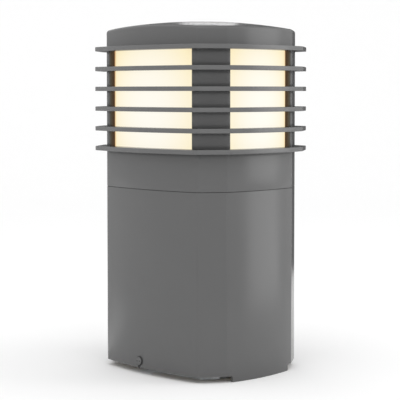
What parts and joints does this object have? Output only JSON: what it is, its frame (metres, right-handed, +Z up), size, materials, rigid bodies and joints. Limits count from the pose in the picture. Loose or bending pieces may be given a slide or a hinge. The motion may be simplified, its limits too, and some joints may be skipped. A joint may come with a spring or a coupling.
{
  "type": "bollard light",
  "caption": "Low bollard light: bulged rectangular tube with cut corners, louvred lantern head over an opal diffuser, domed cap, lift-off housing and base with lamp.",
  "frame": {"origin": "on the ground, under the centre of the plan", "axes": "+Z up along the tube, the wide faces towards -Y and +Y, the narrow faces towards -X and +X"},
  "size_m": [0.227, 0.201, 0.4],
  "materials": {
    "powder_coat": "satin anthracite powder coat with a fine grain",
    "opal_diffuser": "opal acrylic, lit warm white from inside",
    "galvanised_steel": "galvanised sheet",
    "screw_steel": "stainless steel",
    "screw_dark": "stainless steel, coated to match the tube",
    "rubber_black": "matt EPDM rubber",
    "ceramic_white": "glazed porcelain",
    "contact_brass": "plain brass",
    "lead_brown": "silicone insulation",
    "lead_blue": "silicone insulation",
    "lead_green": "silicone insulation",
    "lamp_opal": "frosted lamp globe, lit",
    "lamp_white": "white moulded plastic",
    "lamp_cap_metal": "nickel-plated lamp cap"
  },
  "bodies": {
    "base": {"base_plate": "galvanised_steel", "screw_blocks": "galvanised_steel", "cable_grommet": "rubber_black", "gear_column": "galvanised_steel", "column_screws": "screw_steel", "lamp_shelf": "galvanised_steel", "shelf_screws": "screw_steel", "holder_body": "ceramic_white", "holder_shell": "contact_brass", "holder_contact": "contact_brass", "holder_screws": "screw_steel", "terminal_block": "ceramic_white", "terminal_screws": "contact_brass", "earth_stud": "contact_brass", "live_lead": "lead_brown", "neutral_lead": "lead_blue", "earth_lead": "lead_green"},
    "housing": {"body_tube": "powder_coat", "seam_gasket": "rubber_black", "head_collar": "powder_coat", "corner_post_1": "powder_coat", "corner_post_2": "powder_coat", "corner_post_3": "powder_coat", "corner_post_4": "powder_coat", "louvre_fin_1": "powder_coat", "louvre_fin_2": "powder_coat", "louvre_fin_3": "powder_coat", "louvre_fin_4": "powder_coat", "louvre_fin_5": "powder_coat", "louvre_fin_6": "powder_coat", "tie_rods": "screw_steel", "rod_nuts": "screw_steel", "rod_washers": "screw_steel", "diffuser": "opal_diffuser", "lower_seal": "rubber_black", "upper_seal": "rubber_black", "cap": "powder_coat"},
    "lamp": {"bulb_globe": "lamp_opal", "bulb_body": "lamp_white", "bulb_base": "lamp_cap_metal", "bulb_contact": "contact_brass"},
    "front_screw": {"fixing_screw_front": "screw_dark", "fixing_washer_front": "rubber_black"},
    "rear_screw": {"fixing_screw_rear": "screw_dark", "fixing_washer_rear": "rubber_black"}
  },
  "joints": [
    {"name": "housing_lift", "type": "slide", "parent": "base", "child": "housing", "axis": [0, 0, 1], "range_m": [0, 0.37]},
    {"name": "lamp_turn", "type": "hinge", "parent": "base", "child": "lamp", "pos_m": [0, 0, 0.25], "axis": [0, 0, 1], "continuous": true},
    {"name": "front_screw_turn", "type": "hinge", "parent": "base", "child": "front_screw", "pos_m": [-0.01, -0.088, 0.015], "axis": [0, -1, 0], "continuous": true},
    {"name": "rear_screw_turn", "type": "hinge", "parent": "base", "child": "rear_screw", "pos_m": [0.01, 0.088, 0.015], "axis": [0, 1, 0], "continuous": true}
  ]
}
